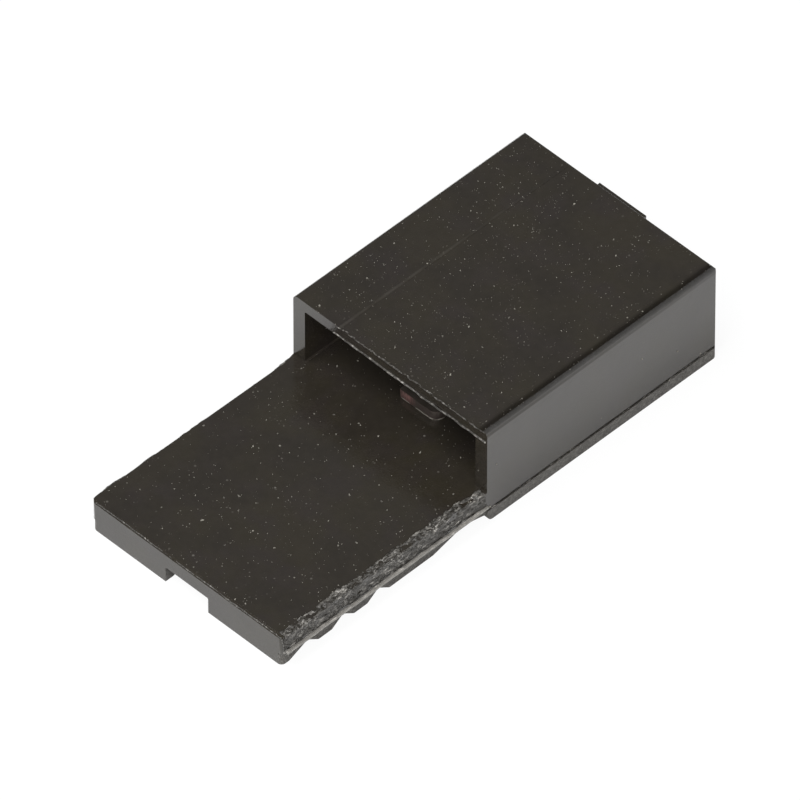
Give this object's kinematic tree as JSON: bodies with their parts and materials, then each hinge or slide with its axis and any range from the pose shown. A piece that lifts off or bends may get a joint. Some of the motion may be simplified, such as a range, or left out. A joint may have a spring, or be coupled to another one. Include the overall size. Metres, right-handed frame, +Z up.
{
  "type": "jumper shunt",
  "caption": "Handled jumper shunt for square-pin headers: black moulded shroud open towards a flat ridged grip, with a folded spring contact inside that bridges the pins.",
  "frame": {"origin": "middle of the underside, on the surface the shunt lies on", "axes": "+X across the two pins, +Y from the handle tip to the pin entries, +Z up from the ridged underside to the roof"},
  "size_m": [0.005, 0.0112, 0.0023],
  "materials": {
    "moulded_black": "satin moulded, fine grain",
    "contact_bronze": "tin-plated faces, bare bronze at the cut edges"
  },
  "bodies": {
    "root": {"housing": "moulded_black", "contact_clip": "contact_bronze"}
  },
  "joints": []
}
